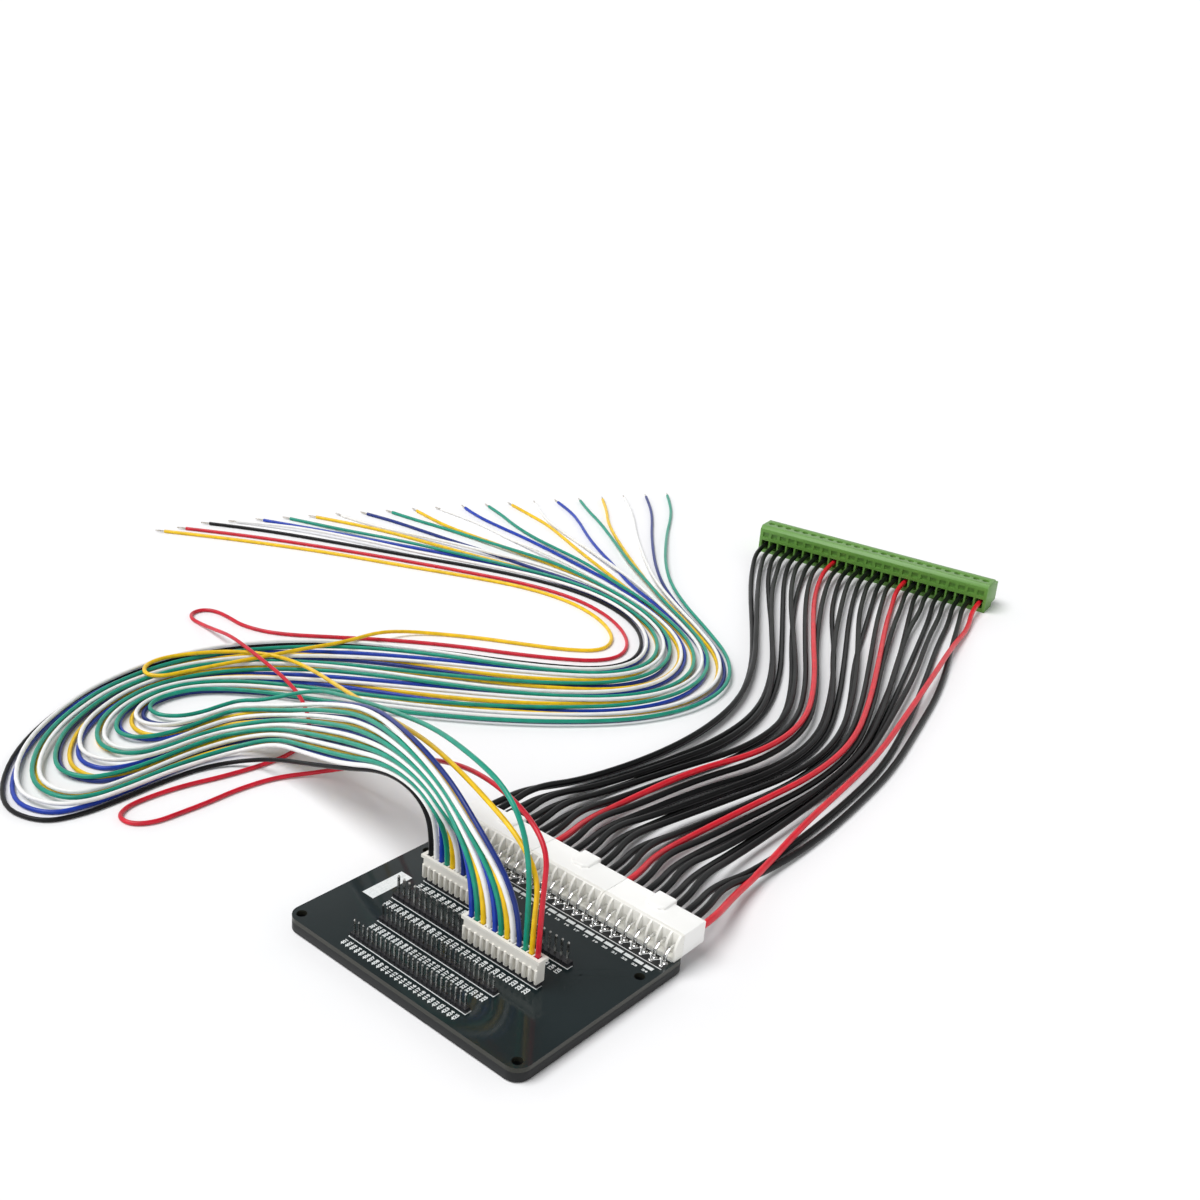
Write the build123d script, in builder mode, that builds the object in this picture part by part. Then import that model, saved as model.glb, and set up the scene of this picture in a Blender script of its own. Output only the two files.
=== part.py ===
# A balancer lead board: a small circuit board on a black base, four strips of
# straight pins, two small plugs pushed onto them, three right-angle power
# connectors along the back edge, and the two sets of leads that leave it.
# The origin is the middle of the four fixing holes, on the underside of the
# base. X runs along the pin rows, Y towards the power connectors, Z up.
import os
from math import cos, pi, radians, sin, sqrt, tan

from build123d import *

os.makedirs("parts", exist_ok=True)

# Board and base
board_width = 100.0
board_depth = 75.5
board_thickness = 1.6
base_thickness = 3.6
corner_radius = 5.0
base_chamfer = 0.45
hole_side_margin = 3.7
hole_spacing_x = board_width - 2 * hole_side_margin
hole_spacing_y = 53.0
hole_diameter = 3.4
hole_front_margin = 3.5
board_top = base_thickness + board_thickness
board_front = -hole_spacing_y / 2 - hole_front_margin
board_back = board_front + board_depth

# Pin strips, from the back row (a) to the front row (d)
pins_per_strip = 25
coarse_pitch = 2.5
coarse_first_x = -32.4
coarse_strip_depth = 2.5
coarse_strip_height = 1.6
coarse_pin_height = 8.45
coarse_pin_width = 0.64
fine_pitch = 2.0
fine_first_x = -26.4
fine_strip_depth = 2.0
fine_strip_height = 1.4
fine_pin_height = 6.25
fine_pin_width = 0.5
row_a_y = 14.6
row_b_y = 0.9
row_c_y = -10.8
row_d_y = -22.2
pin_tip_height = 0.5
pin_tip_taper = 18
strip_notch = 0.45

# Small plugs on rows a and b
small_plug_height = 8.6
small_plug_depth = 3.5
small_plug_end_wall = 1.5
lip_height = 1.1
lip_overhang_x = 0.9
lip_overhang_y = 0.3
rib_radius = 0.5
rib_height = 4.6
rib_foot = 0.6
socket_width = 1.2
socket_clearance = 0.6
wire_pocket_width = 2.0
wire_pocket_depth = 1.5
back_plug_ways = 10
back_plug_first_pin = 0
front_plug_ways = 12
front_plug_first_pin = 13

# Power connectors on the back edge
power_pitch = 3.96
power_ways = [9, 8, 8]
power_gap = 0.12
header_back_margin = 2.0
header_wall_thickness = 1.6
header_depth = 4.1
header_back_y = board_back - header_back_margin
header_wall_y = header_back_y - header_wall_thickness
header_front_y = header_back_y - header_depth
header_height = 8.3
header_floor = 1.2
fin_thickness = 0.9
fin_front_height = 2.6
fin_waist_depth_share = 0.3
fin_waist_height_share = 0.58
power_plug_length = 10.9
power_plug_lift = 0.15
power_plug_chamfer = 0.5
power_wire_height = 4.5
power_pin_width = 1.0
power_pin_reach = 5.5
power_pin_foot_gap = 2.2
power_pin_foot_y = header_front_y - power_pin_foot_gap
power_pin_bend = 1.2
power_socket_width = 1.5
power_socket_clearance = 0.5
power_pocket_width = 3.0
power_pocket_depth = 2.5
latch_width = 7.2
latch_length = 8.0
latch_height = 1.1
latch_overhang = 0.8
latch_nose = 1.6
latch_chamfer = 0.3

# Long terminal plug on the far end of the power leads, lying on the floor
terminal_pitch = 5.08
terminal_ways = 25
terminal_end_wall = 1.0
terminal_height = 15.0
terminal_depth = 18.0
terminal_turn = 9.0
terminal_x = -88.0
terminal_y = 392.0
terminal_step_y = 3.0
terminal_nose_low = 2.2
terminal_nose_high = 12.4
terminal_chamfer = 1.6
terminal_wire_height = 4.6
terminal_opening_width = 4.1
terminal_opening_height = 4.8
terminal_opening_depth = 9.0
terminal_window_width = 3.4
terminal_window_height = 2.6
terminal_window_depth = 0.9
terminal_window_z = 10.2
terminal_socket_width = 3.0
terminal_socket_height = 5.6
terminal_socket_depth = 5.0
screw_diameter = 3.4
screw_height = 1.6
screw_sink = 1.0
screw_slot_length = 4.1
screw_slot_width = 0.7
screw_slot_depth = 0.6
screw_slot_turn = 35
screw_y = -2.6
clamp_length = 3.0
clamp_gap = 0.3

# Wires
thin_wire = 1.65
thick_wire = 2.4
touch_gap = 0.1
lying_height = 3.0
arc_share = 0.45
power_exit_run = 10.0
terminal_exit_run = 16.0
sway_per_wire = 2.4
sway_per_station = 0.5
layer_sway = 1.35
neighbour_sway = 1.86
largest_swing = 1.1
loose_spacing = 4.5
layer_spacing = 6.5
layer_fade = 1.5
lane_room = 1.4
fade_stations = 2


def strip_plane(middle_x, y, height):
    return Plane(origin=(middle_x, y, board_top + height), x_dir=(1, 0, 0), z_dir=(0, 0, 1))


def finish(piece, label):
    piece.part.label = label
    export_step(piece.part, f"parts/{label}.step")
    print(f"{label}: {len(piece.part.solids())} solids, {piece.part.volume:.1f} mm3")


# Base plate: a black moulded sheet of the board's own outline
with BuildPart() as base_plate:
    base_middle_y = (board_front + board_back) / 2
    with BuildSketch(Plane(origin=(0, base_middle_y, 0), x_dir=(1, 0, 0), z_dir=(0, 0, 1))):
        RectangleRounded(board_width, board_depth, corner_radius)
    extrude(amount=base_thickness)
    with BuildSketch(Plane.XY):
        with GridLocations(hole_spacing_x, hole_spacing_y, 2, 2):
            Circle(hole_diameter / 2)
    extrude(amount=base_thickness, mode=Mode.SUBTRACT)
    bottom_edge = base_plate.faces().sort_by(Axis.Z)[0].outer_wire().edges()
    chamfer(bottom_edge, length=base_chamfer)
finish(base_plate, "base_plate")

# Circuit board on top of the base
with BuildPart() as circuit_board:
    with BuildSketch(Plane(origin=(0, base_middle_y, base_thickness), x_dir=(1, 0, 0), z_dir=(0, 0, 1))):
        RectangleRounded(board_width, board_depth, corner_radius)
    extrude(amount=board_thickness)
    with BuildSketch(Plane.XY.offset(base_thickness)):
        with GridLocations(hole_spacing_x, hole_spacing_y, 2, 2):
            Circle(hole_diameter / 2)
    extrude(amount=board_thickness, mode=Mode.SUBTRACT)
finish(circuit_board, "circuit_board")


# A snap-off pin strip: one moulded block with a notch between each two pins
def make_strip(label, pitch, first_x, y, depth, height, pin_width):
    middle_x = first_x + pitch * (pins_per_strip - 1) / 2
    with BuildPart() as strip:
        with BuildSketch(strip_plane(middle_x, y, 0)):
            Rectangle(pitch * pins_per_strip, depth)
            with GridLocations(pitch, depth, pins_per_strip - 1, 2):
                Rectangle(strip_notch, strip_notch, rotation=45, mode=Mode.SUBTRACT)
            with GridLocations(pitch, depth, pins_per_strip, 1):
                Rectangle(pin_width, pin_width, mode=Mode.SUBTRACT)
        extrude(amount=height)
    finish(strip, label)


# The strip's square pins, each with four sloped faces at its tip
def make_pins(label, pitch, first_x, y, height, pin_width):
    middle_x = first_x + pitch * (pins_per_strip - 1) / 2
    with BuildPart() as pins:
        with BuildSketch(strip_plane(middle_x, y, 0)):
            with GridLocations(pitch, pitch, pins_per_strip, 1):
                Rectangle(pin_width, pin_width)
        extrude(amount=height - pin_tip_height)
        with BuildSketch(strip_plane(middle_x, y, height - pin_tip_height)):
            with GridLocations(pitch, pitch, pins_per_strip, 1):
                Rectangle(pin_width, pin_width)
        extrude(amount=pin_tip_height, taper=pin_tip_taper)
    finish(pins, label)


coarse_rows = [("a", row_a_y), ("b", row_b_y)]
fine_rows = [("c", row_c_y), ("d", row_d_y)]
for row, row_y in coarse_rows:
    make_strip(
        f"pin_strip_{row}", coarse_pitch, coarse_first_x, row_y,
        coarse_strip_depth, coarse_strip_height, coarse_pin_width,
    )
    make_pins(
        f"pins_{row}", coarse_pitch, coarse_first_x, row_y, coarse_pin_height, coarse_pin_width
    )
for row, row_y in fine_rows:
    make_strip(
        f"pin_strip_{row}", fine_pitch, fine_first_x, row_y,
        fine_strip_depth, fine_strip_height, fine_pin_width,
    )
    make_pins(f"pins_{row}", fine_pitch, fine_first_x, row_y, fine_pin_height, fine_pin_width)


# A small crimp plug: a tall comb-fronted housing with a lip round its top, a
# square socket under each way and an open pocket above it for the wire
small_plug_top = board_top + coarse_strip_height + small_plug_height


def make_small_plug(label, ways, first_pin, y):
    middle_x = coarse_first_x + coarse_pitch * (first_pin + (ways - 1) / 2)
    body_width = coarse_pitch * (ways - 1) + 2 * small_plug_end_wall
    foot = coarse_strip_height
    lip_foot = foot + small_plug_height - lip_height
    front_y = y - small_plug_depth / 2
    with BuildPart() as plug:
        with BuildSketch(strip_plane(middle_x, y, foot)):
            Rectangle(body_width, small_plug_depth)
        extrude(amount=small_plug_height)
        with BuildSketch(strip_plane(middle_x, y, lip_foot)):
            Rectangle(body_width + 2 * lip_overhang_x, small_plug_depth + 2 * lip_overhang_y)
        extrude(amount=lip_height)
        with BuildSketch(strip_plane(middle_x, front_y, foot + rib_foot)):
            with GridLocations(coarse_pitch, coarse_pitch, ways + 1, 1):
                Circle(rib_radius)
        extrude(amount=rib_height)
        with BuildSketch(strip_plane(middle_x, y, foot)):
            with GridLocations(coarse_pitch, coarse_pitch, ways, 1):
                Rectangle(socket_width, socket_width)
        socket_depth = coarse_pin_height - coarse_strip_height + socket_clearance
        extrude(amount=socket_depth, mode=Mode.SUBTRACT)
        with BuildSketch(strip_plane(middle_x, y, foot + small_plug_height)):
            with GridLocations(coarse_pitch, coarse_pitch, ways, 1):
                Rectangle(wire_pocket_width, wire_pocket_width)
        extrude(amount=-wire_pocket_depth, mode=Mode.SUBTRACT)
    finish(plug, label)


make_small_plug("back_plug", back_plug_ways, back_plug_first_pin, row_a_y)
make_small_plug("front_plug", front_plug_ways, front_plug_first_pin, row_b_y)


# Power connectors. Each has a header soldered to the board, its bent pins, and
# a plug pushed onto it from the back with the wires in its far face.
power_first_x = -power_pitch * (sum(power_ways) - 1) / 2
power_wire_z = board_top + power_wire_height
power_plug_back_y = header_back_y + power_plug_length


def power_x(way):
    return power_first_x + power_pitch * way


def make_power_header(label, first_way, ways):
    middle_x = (power_x(first_way) + power_x(first_way + ways - 1)) / 2
    width = power_pitch * ways - power_gap
    fin_depth = header_wall_y - header_front_y
    with BuildPart() as header:
        left_x = middle_x - width / 2
        side = Plane(origin=(left_x, 0, board_top), x_dir=(0, 1, 0), z_dir=(1, 0, 0))
        with BuildSketch(side):
            with Locations((header_wall_y, 0)):
                Rectangle(header_back_y - header_wall_y, header_height, align=(Align.MIN, Align.MIN))
            with Locations((header_front_y, 0)):
                Rectangle(header_back_y - header_front_y, header_floor, align=(Align.MIN, Align.MIN))
        extrude(amount=width)
        for fin in range(ways + 1):
            nominal_x = middle_x + power_pitch * (fin - ways / 2)
            inner_limit = width / 2 - fin_thickness / 2
            fin_x = min(max(nominal_x, middle_x - inner_limit), middle_x + inner_limit)
            start_x = fin_x - fin_thickness / 2
            with BuildSketch(Plane(origin=(start_x, 0, board_top), x_dir=(0, 1, 0), z_dir=(1, 0, 0))):
                with BuildLine():
                    foot_point = (header_front_y, 0)
                    lip_point = (header_front_y, fin_front_height)
                    crown_point = (header_wall_y, header_height)
                    waist_point = (
                        header_front_y + fin_depth * fin_waist_depth_share,
                        (fin_front_height + header_height) * fin_waist_height_share,
                    )
                    Line(foot_point, lip_point)
                    ThreePointArc(lip_point, waist_point, crown_point)
                    Line(crown_point, (header_wall_y, 0))
                    Line((header_wall_y, 0), foot_point)
                make_face()
            extrude(amount=fin_thickness)
        wall_face = Plane(
            origin=(middle_x, header_wall_y, power_wire_z), x_dir=(1, 0, 0), z_dir=(0, -1, 0)
        )
        with BuildSketch(wall_face):
            with GridLocations(power_pitch, power_pitch, ways, 1):
                Rectangle(power_pin_width, power_pin_width)
        extrude(amount=-(header_back_y - header_wall_y), mode=Mode.SUBTRACT)
    finish(header, label)


def make_power_pins(label, first_way, ways):
    half = power_pin_width / 2
    pin_level = power_wire_height
    with BuildPart() as pins:
        for way in range(first_way, first_way + ways):
            start_x = power_x(way) - half
            with BuildSketch(Plane(origin=(start_x, 0, board_top), x_dir=(0, 1, 0), z_dir=(1, 0, 0))):
                with BuildLine():
                    Polyline(
                        (power_pin_foot_y - half, 0),
                        (power_pin_foot_y + half, 0),
                        (power_pin_foot_y + half, pin_level - half - power_pin_bend),
                        (power_pin_foot_y + half + power_pin_bend, pin_level - half),
                        (header_back_y + power_pin_reach, pin_level - half),
                        (header_back_y + power_pin_reach, pin_level + half),
                        (power_pin_foot_y + power_pin_bend, pin_level + half),
                        (power_pin_foot_y - half, pin_level - power_pin_bend),
                        close=True,
                    )
                make_face()
            extrude(amount=power_pin_width)
    finish(pins, label)


def make_power_plug(label, first_way, ways):
    middle_x = (power_x(first_way) + power_x(first_way + ways - 1)) / 2
    width = power_pitch * ways - power_gap
    height = header_height - power_plug_lift
    plug_middle_y = header_back_y + power_plug_length / 2
    with BuildPart() as plug:
        with BuildSketch(strip_plane(middle_x, plug_middle_y, power_plug_lift)):
            Rectangle(width, power_plug_length)
        extrude(amount=height)
        back_edges = plug.faces().sort_by(Axis.Y)[-1].edges().filter_by(Axis.X)
        chamfer(back_edges, length=power_plug_chamfer)
        latch_back_y = power_plug_back_y + latch_overhang
        latch_front_y = latch_back_y - latch_length
        with BuildSketch(strip_plane(middle_x, 0, header_height - latch_height)):
            with BuildLine():
                Polyline(
                    (-latch_width / 2, latch_back_y),
                    (latch_width / 2, latch_back_y),
                    (latch_width / 2, latch_front_y + latch_nose),
                    (latch_width / 2 - latch_nose, latch_front_y),
                    (-latch_width / 2 + latch_nose, latch_front_y),
                    (-latch_width / 2, latch_front_y + latch_nose),
                    close=True,
                )
            make_face()
        extrude(amount=2 * latch_height)
        top_edges = plug.faces().sort_by(Axis.Z)[-1].edges()
        chamfer(top_edges, length=latch_chamfer)
        front_face = Plane(
            origin=(middle_x, header_back_y, power_wire_z), x_dir=(1, 0, 0), z_dir=(0, -1, 0)
        )
        with BuildSketch(front_face):
            with GridLocations(power_pitch, power_pitch, ways, 1):
                Rectangle(power_socket_width, power_socket_width)
        extrude(amount=-(power_pin_reach + power_socket_clearance), mode=Mode.SUBTRACT)
        back_face = Plane(
            origin=(middle_x, power_plug_back_y, power_wire_z), x_dir=(-1, 0, 0), z_dir=(0, 1, 0)
        )
        with BuildSketch(back_face):
            with GridLocations(power_pitch, power_pitch, ways, 1):
                Rectangle(power_pocket_width, power_pocket_width)
        extrude(amount=-power_pocket_depth, mode=Mode.SUBTRACT)
    finish(plug, label)


power_sides = ["left", "middle", "right"]
first_way = 0
for side_name, way_count in zip(power_sides, power_ways):
    make_power_header(f"power_header_{side_name}", first_way, way_count)
    make_power_pins(f"power_pins_{side_name}", first_way, way_count)
    make_power_plug(f"power_plug_{side_name}", first_way, way_count)
    first_way = first_way + way_count


# Terminal plug: a long green housing with a wire opening, a window and a
# sunk clamp screw for each way, and a row of sockets in its nose
terminal_length = terminal_pitch * terminal_ways + 2 * terminal_end_wall
terminal_along = (cos(radians(terminal_turn)), sin(radians(terminal_turn)), 0)
terminal_back = (-sin(radians(terminal_turn)), cos(radians(terminal_turn)), 0)
terminal_front = (sin(radians(terminal_turn)), -cos(radians(terminal_turn)), 0)
terminal_half = terminal_depth / 2


def terminal_point(along, back, height):
    x = terminal_x + along * terminal_along[0] + back * terminal_back[0]
    y = terminal_y + along * terminal_along[1] + back * terminal_back[1]
    return (x, y, height)


def terminal_front_plane(back, height):
    return Plane(
        origin=terminal_point(0, back, height), x_dir=terminal_along, z_dir=terminal_front
    )


def terminal_top_plane(back, height):
    return Plane(origin=terminal_point(0, back, height), x_dir=terminal_along, z_dir=(0, 0, 1))


screw_top = terminal_height - screw_sink
screw_hole_depth = screw_sink + screw_height

with BuildPart() as terminal_plug:
    terminal_side = Plane(
        origin=terminal_point(-terminal_length / 2, 0, 0),
        x_dir=terminal_back,
        z_dir=terminal_along,
    )
    with BuildSketch(terminal_side):
        with BuildLine():
            Polyline(
                (-terminal_half, 0),
                (terminal_step_y, 0),
                (terminal_step_y, terminal_nose_low),
                (terminal_half, terminal_nose_low),
                (terminal_half, terminal_nose_high),
                (terminal_step_y, terminal_nose_high),
                (terminal_step_y, terminal_height),
                (-terminal_half + terminal_chamfer, terminal_height),
                (-terminal_half, terminal_height - terminal_chamfer),
                close=True,
            )
        make_face()
    extrude(amount=terminal_length)
    with BuildSketch(terminal_front_plane(-terminal_half, terminal_wire_height)):
        with GridLocations(terminal_pitch, terminal_pitch, terminal_ways, 1):
            Rectangle(terminal_opening_width, terminal_opening_height)
    extrude(amount=-terminal_opening_depth, mode=Mode.SUBTRACT)
    with BuildSketch(terminal_front_plane(-terminal_half, terminal_window_z)):
        with GridLocations(terminal_pitch, terminal_pitch, terminal_ways, 1):
            Rectangle(terminal_window_width, terminal_window_height)
    extrude(amount=-terminal_window_depth, mode=Mode.SUBTRACT)
    nose_middle = (terminal_nose_low + terminal_nose_high) / 2
    with BuildSketch(terminal_front_plane(terminal_half, nose_middle)):
        with GridLocations(terminal_pitch, terminal_pitch, terminal_ways, 1):
            Rectangle(terminal_socket_width, terminal_socket_height)
    extrude(amount=terminal_socket_depth, mode=Mode.SUBTRACT)
    with BuildSketch(terminal_top_plane(screw_y, terminal_height)):
        with GridLocations(terminal_pitch, terminal_pitch, terminal_ways, 1):
            Circle(screw_diameter / 2)
    extrude(amount=-screw_hole_depth, mode=Mode.SUBTRACT)
finish(terminal_plug, "terminal_plug")

with BuildPart() as terminal_screws:
    with BuildSketch(terminal_top_plane(screw_y, screw_top - screw_height)):
        with GridLocations(terminal_pitch, terminal_pitch, terminal_ways, 1):
            Circle(screw_diameter / 2)
    extrude(amount=screw_height)
    with BuildSketch(terminal_top_plane(screw_y, screw_top)):
        with GridLocations(terminal_pitch, terminal_pitch, terminal_ways, 1):
            Rectangle(screw_slot_length, screw_slot_width, rotation=screw_slot_turn)
    extrude(amount=-screw_slot_depth, mode=Mode.SUBTRACT)
finish(terminal_screws, "terminal_screws")

clamp_back = -terminal_half + terminal_opening_depth - clamp_length
with BuildPart() as terminal_clamps:
    with BuildSketch(terminal_front_plane(clamp_back, terminal_wire_height)):
        with GridLocations(terminal_pitch, terminal_pitch, terminal_ways, 1):
            Rectangle(terminal_opening_width - clamp_gap, terminal_opening_height - clamp_gap)
    extrude(amount=-clamp_length)
finish(terminal_clamps, "terminal_clamps")


# Wires. Each is a tube along straight runs joined by arcs. Wires that lie
# side by side share two guide routes and are spread evenly between them.
def corner_radii(points):
    legs = [Vector(*end) - Vector(*start) for start, end in zip(points, points[1:])]
    radii = []
    for before, after in zip(legs, legs[1:]):
        shorter = min(before.length, after.length)
        radii.append(arc_share * shorter / tan(radians(before.get_angle(after)) / 2))
    return radii


def make_wires(label, routes, diameter):
    with BuildPart() as wires:
        for points in routes:
            with BuildLine() as route:
                FilletPolyline(*points, radius=corner_radii(points))
            path = route.wires()[0]
            with BuildSketch(Plane(origin=path @ 0, z_dir=path % 0)):
                Circle(diameter / 2)
            sweep(path=path)
            expected = pi * diameter**2 / 4 * path.length
            print(f"  {label}: {path.length:.0f} mm long, section times length {expected:.0f}")
    tightest = min(min(corner_radii(points)) for points in routes)
    print(f"  {label}: tightest corner {tightest:.1f} mm")
    finish(wires, label)


def between(start, end, share):
    return tuple(a + (b - a) * share for a, b in zip(start, end))


# How far a wire may sway, counted in lanes, before it meets one in its own layer
def swing(spacing, diameter):
    room = lane_room * (diameter + touch_gap)
    if spacing < loose_spacing:
        lanes = (2 * spacing - room) / (layer_sway * spacing)
    else:
        lanes = (spacing - room) / (neighbour_sway * spacing)
    return min(max(lanes, 0), largest_swing)


# One lane between two guides. Every second wire rides on the layer below it,
# and each between the guides sways about its own lane. Where the lanes spread
# wide, all lie flat.
def lane(first, last, number, steps, diameter):
    middle = [between(near, far, number / steps) for near, far in zip(first, last)]
    points = []
    for station, (near, far) in enumerate(zip(first, last)):
        before = Vector(*middle[max(station - 1, 0)])
        after = Vector(*middle[min(station + 1, len(middle) - 1)])
        across = Vector(*far) - Vector(*near)
        up = across.cross((after - before).normalized())
        spacing = up.length / steps
        fade = min(station / fade_stations, (len(first) - 1 - station) / fade_stations, 1)
        sway = sin(sway_per_wire * number + sway_per_station * station)
        if number == 0 or number > steps - 2:
            sway = 0
        share = (number + fade * swing(spacing, diameter) * sway) / steps
        point = between(near, far, share)
        if point[2] < lying_height:
            up = Vector(0, 0, 1)
        if number % 2 == 1:
            layer = min(max(layer_spacing + layer_fade - spacing, 0) / layer_fade, 1)
            point = tuple(Vector(*point) + up.normalized() * (diameter + touch_gap) * layer)
        points.append(point)
    return points


# Power leads: guides for ways 1, 9, 17 and 25, station by station
power_guides = [
    [(-51, 80, 6), (-47, 103, 1.4), (-40, 137, 1.3), (-39, 171, 1.3), (-45, 206, 1.3),
     (-62, 241, 1.3), (-87, 277, 1.3), (-115, 315, 1.3), (-133, 342, 1.3)],
    [(-22, 80, 6), (-23, 103, 1.4), (-18, 137, 1.3), (-8, 171, 1.3), (-11, 206, 1.3),
     (-29, 241, 1.3), (-55, 280, 1.3), (-81, 321, 1.3), (-97, 350, 1.3)],
    [(9, 80, 6), (8, 103, 1.4), (13, 137, 1.3), (16, 171, 1.3), (12, 206, 1.3),
     (-3, 244, 1.3), (-23, 286, 1.3), (-44, 329, 1.3), (-57, 358, 1.3)],
    [(42, 80, 6), (38, 103, 1.4), (33, 137, 1.3), (29, 171, 1.3), (24, 206, 1.3),
     (14, 246, 1.3), (3, 289, 1.3), (-10, 334, 1.3), (-17, 364, 1.3)],
]
ways_between_guides = 8
power_wire_start = power_plug_back_y - power_pocket_depth
wire_end_back = -terminal_half + terminal_opening_depth - clamp_length


def power_route(way):
    group = min(way // ways_between_guides, len(power_guides) - 2)
    middle = lane(
        power_guides[group], power_guides[group + 1], way - group * ways_between_guides,
        ways_between_guides, thick_wire,
    )
    x = power_x(way)
    along = terminal_pitch * (way - (terminal_ways - 1) / 2)
    start = [
        (x, power_wire_start, power_wire_z),
        (x, power_wire_start + power_exit_run, power_wire_z),
    ]
    finish_points = [
        terminal_point(along, wire_end_back - terminal_exit_run, terminal_wire_height),
        terminal_point(along, wire_end_back, terminal_wire_height),
    ]
    return start + middle + finish_points


power_reds = [8, 16, 24]
black_groups = [range(0, 8), range(9, 16), range(17, 24)]
for side_name, red, blacks in zip(power_sides, power_reds, black_groups):
    make_wires(f"red_lead_{side_name}", [power_route(red)], thick_wire)
    make_wires(f"black_leads_{side_name}", [power_route(way) for way in blacks], thick_wire)


# Signal leads: they rise from the two small plugs, arch over the board's left
# edge, turn back on themselves twice on the floor and fan out to bare ends.
# The two guides are the first and the nineteenth wire of the bundle.
signal_front_guide = [
    (-36, 15, 31), (-46, 16, 35), (-61, 18, 33), (-80, 19, 25), (-104, 23, 15), (-126, 25, 7),
    (-140, 21, 2), (-147, 9, 0.9), (-148, -8, 0.9), (-147, -26, 0.9), (-147, -42, 0.9),
    (-152, -55, 0.9), (-172, -59, 0.9), (-203, -36, 0.9), (-225, 0, 0.9), (-232, 27, 0.9),
    (-233, 51, 0.9), (-227, 75, 0.9), (-215, 97, 0.9), (-199, 117, 0.9), (-181, 133, 0.9),
    (-160, 148, 0.9), (-139, 161, 0.9), (-121, 174, 0.9), (-107, 187, 0.9), (-102, 203, 0.9),
    (-109, 220, 0.9), (-124, 235, 0.9), (-144, 244, 0.9), (-168, 247, 0.9), (-196, 242, 0.9),
    (-227, 230, 0.9), (-259, 214, 0.9), (-291, 199, 0.9), (-322, 184, 0.9), (-345, 171, 0.9),
    (-360, 161, 0.9),
]
signal_back_guide = [
    (0, 3, 50), (-17, 8, 55), (-42, 15, 56), (-78, 30, 46), (-116, 43, 30), (-147, 51, 16),
    (-167, 52, 6), (-177, 46, 1.5), (-179, 38, 0.9), (-179, 29, 0.9), (-181, 20, 0.9),
    (-187, 13.5, 0.9), (-195, 13, 0.9), (-201.5, 19.5, 0.9), (-203, 30, 0.9), (-201, 40, 0.9),
    (-195, 49, 0.9), (-186, 58, 0.9), (-174, 67, 0.9), (-160, 76, 0.9), (-144, 86, 0.9),
    (-125, 99, 0.9), (-104, 116, 0.9), (-83, 137, 0.9), (-65, 161, 0.9), (-56, 188, 0.9),
    (-59, 215, 0.9), (-75, 238, 0.9), (-100, 255, 0.9), (-127, 271, 0.9), (-151, 288, 0.9),
    (-171, 307, 0.9), (-188, 326, 0.9), (-204, 345, 0.9), (-218, 363, 0.9), (-232, 379, 0.9),
    (-246, 392, 0.9),
]
bundle_steps = 18

# Three wires leave the bundle and have routes of their own
green_arch = [
    (22, 1, 43), (16, 3, 55), (5, 6, 61), (-11, 10, 62), (-37, 19, 58), (-69, 31, 47),
    (-107, 45, 33), (-143, 57, 19),
]
green_bundle_station = 6
yellow_route = [
    (24, 3, 40), (12, 6, 47), (-2, 9, 50), (-16, 13, 51), (-33, 19, 50), (-52, 27, 46),
    (-76, 38, 38), (-106, 52, 28), (-137, 66, 18), (-166, 78, 10), (-187, 84, 5.5),
    (-202, 82, 4.6), (-213, 74, 4.6), (-221, 64, 4.6), (-226, 54, 4.6), (-229, 44, 4.6),
    (-227, 35, 4.6), (-220, 31, 4.6), (-214, 35, 4.6), (-212, 44, 4.6), (-209, 57, 4.6),
    (-204, 75, 4.6), (-199, 95, 4.6), (-193, 114, 4.6), (-192, 132, 4.6), (-189, 146, 2),
    (-180, 157, 0.9), (-164, 169, 0.9), (-146, 180, 0.9), (-129, 191, 0.9), (-119, 202, 0.9),
    (-122, 214, 0.9), (-133, 224, 0.9), (-149, 231, 0.9), (-170, 234, 0.9), (-196, 229, 0.9),
    (-226, 215, 0.9), (-257, 199, 0.9), (-290, 183, 0.9), (-322, 164, 0.9), (-347, 148, 0.9),
    (-364, 136, 0.9),
]
red_route = [
    (27, 2, 38), (24, 6, 47), (13, 10, 52), (-6, 16, 52), (-27, 23, 47), (-48, 30, 38),
    (-68, 37, 27), (-88, 42, 15), (-105, 42, 6), (-117, 35, 1.3), (-124, 23, 0.9),
    (-126, 8, 0.9), (-125.5, -6, 0.9), (-126, -18, 0.9), (-126.5, -26, 0.9),
    (-130.5, -32.5, 0.9), (-137.5, -33.5, 0.9), (-141.5, -27.5, 0.9), (-142, -19, 0.9),
    (-141, -6, 0.9), (-137, 9, 0.9), (-134.5, 24, 0.9), (-134, 38, 0.9), (-139, 50, 0.9),
    (-149, 59, 2.6), (-162, 65, 5.6), (-178, 69, 6.9), (-196, 72, 7.2), (-212, 75, 7),
    (-228, 78, 6), (-243, 80.5, 2.8), (-255, 82, 0.9), (-262.5, 82.2, 0.9), (-267.5, 86, 0.9),
    (-267.5, 92, 0.9), (-262.5, 95.5, 0.9), (-254, 96, 0.9), (-241, 95, 0.9), (-225, 101, 0.9),
    (-207, 118, 0.9), (-186, 138, 0.9), (-164, 155, 0.9), (-143, 168, 0.9), (-125, 181, 0.9),
    (-113, 192, 0.9), (-109, 204, 0.9), (-115, 217, 0.9), (-128, 228, 0.9), (-146, 236, 0.9),
    (-168, 239, 0.9), (-195, 234, 0.9), (-226, 221, 0.9), (-258, 206, 0.9), (-290, 190, 0.9),
    (-321, 173, 0.9), (-345, 158, 0.9), (-361, 147, 0.9),
]

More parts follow.
